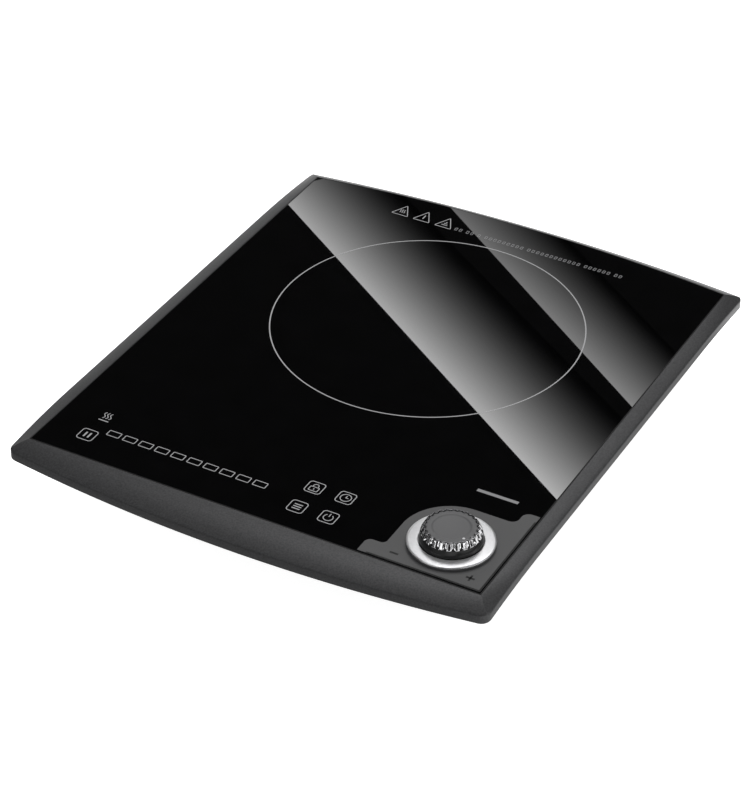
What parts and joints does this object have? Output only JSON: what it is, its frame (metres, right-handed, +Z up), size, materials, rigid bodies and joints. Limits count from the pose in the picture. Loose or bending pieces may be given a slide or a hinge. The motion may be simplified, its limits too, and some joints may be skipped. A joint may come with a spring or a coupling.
{
  "type": "hot plate burner",
  "caption": "Portable flat hot plate: a black glass cooking surface in a low grey frame, with printed touch keys, a fluted turning knob on a metal ring, and a tapered lower housing on feet.",
  "frame": {"origin": "under the middle of the frame's plan, on the surface the feet stand on", "axes": "+Z up, -Y towards the user at the control edge, +X to the right, the side of the knob"},
  "size_m": [0.2886, 0.3508, 0.0617],
  "materials": {
    "frame_paint": "satin grey metallic paint",
    "black_glass": "polished black glass-ceramic with grey print",
    "seal_rubber": "matt black",
    "grey_film": "fine matt grey film",
    "satin_metal": "spun satin",
    "knob_chrome": "polished plating",
    "cap_grey": "fine matt",
    "plated_steel": "nickel plated",
    "black_resin": "moulded",
    "brass_part": "machined",
    "circuit_board": "green solder mask",
    "housing_black": "fine moulded texture",
    "foot_rubber": "matt",
    "zinc_screw": "zinc plated",
    "copper_coil": "enamelled copper",
    "ferrite_grey": "pressed ferrite",
    "mica_gold": "mica paper",
    "silicone_white": "moulded",
    "foam_pad": "conductive foam",
    "lamp_resin": "clear resin",
    "bare_aluminium": "extruded",
    "film_box": "epoxy box",
    "can_sleeve": "shrink sleeve",
    "fuse_glass": "clear tube",
    "disc_blue": "lacquered",
    "block_green": "moulded",
    "fan_plastic": "moulded",
    "lead_red": "silicone sleeve",
    "lead_black": "sleeve",
    "lead_grey": "sleeve"
  },
  "bodies": {
    "housing": {"board_plugs": "silicone_white", "bottom_housing": "housing_black", "bridge_rectifier": "black_resin", "buzzer": "black_resin", "choke_core": "ferrite_grey", "choke_windings": "copper_coil", "coil_carrier": "black_resin", "coil_leads": "lead_red", "coil_posts": "brass_part", "coil_screws": "zinc_screw", "coil_springs": "plated_steel", "coil_winding": "copper_coil", "control_board": "circuit_board", "control_overlay": "grey_film", "control_tray": "housing_black", "cord_clamp": "silicone_white", "cord_inlet_bush": "seal_rubber", "display_module": "black_resin", "encoder_board": "circuit_board", "encoder_body": "black_resin", "encoder_cable": "lead_grey", "encoder_nut": "brass_part", "encoder_washer": "plated_steel", "fan_cover": "black_resin", "fan_housing": "black_resin", "fan_lead": "lead_black", "fan_motor": "plated_steel", "ferrite_bars": "ferrite_grey", "glass_seal": "seal_rubber", "glass_top": "black_glass", "heat_sink": "bare_aluminium", "housing_screws": "zinc_screw", "indicator_lamps": "lamp_resin", "inner_screws": "zinc_screw", "knob_ring": "satin_metal", "mains_capacitor": "film_box", "mains_fuse_caps": "plated_steel", "mains_fuse_tube": "fuse_glass", "mica_sheet": "mica_gold", "panel_cable": "lead_grey", "power_board": "circuit_board", "power_transistor": "black_resin", "resonant_capacitors": "film_box", "rubber_feet": "foot_rubber", "sensor_holder": "silicone_white", "sensor_lead": "lead_black", "slider_pads": "foam_pad", "smoothing_capacitors": "can_sleeve", "supply_transformer_core": "ferrite_grey", "supply_transformer_winding": "copper_coil", "surge_disc": "disc_blue", "temperature_sensor": "brass_part", "terminal_block": "block_green", "top_frame": "frame_paint", "touch_springs": "plated_steel"},
    "knob": {"knob_body": "knob_chrome", "knob_cap": "cap_grey", "encoder_shaft": "plated_steel"},
    "fan": {"fan_rotor": "fan_plastic"}
  },
  "joints": [
    {"name": "knob_turn", "type": "hinge", "parent": "housing", "child": "knob", "pos_m": [0.1041, -0.1273, 0.0517], "axis": [0, 0, 1], "continuous": true},
    {"name": "fan_turn", "type": "hinge", "parent": "housing", "child": "fan", "pos_m": [-0.062, -0.066, 0.02], "axis": [0, 0, 1], "continuous": true}
  ]
}
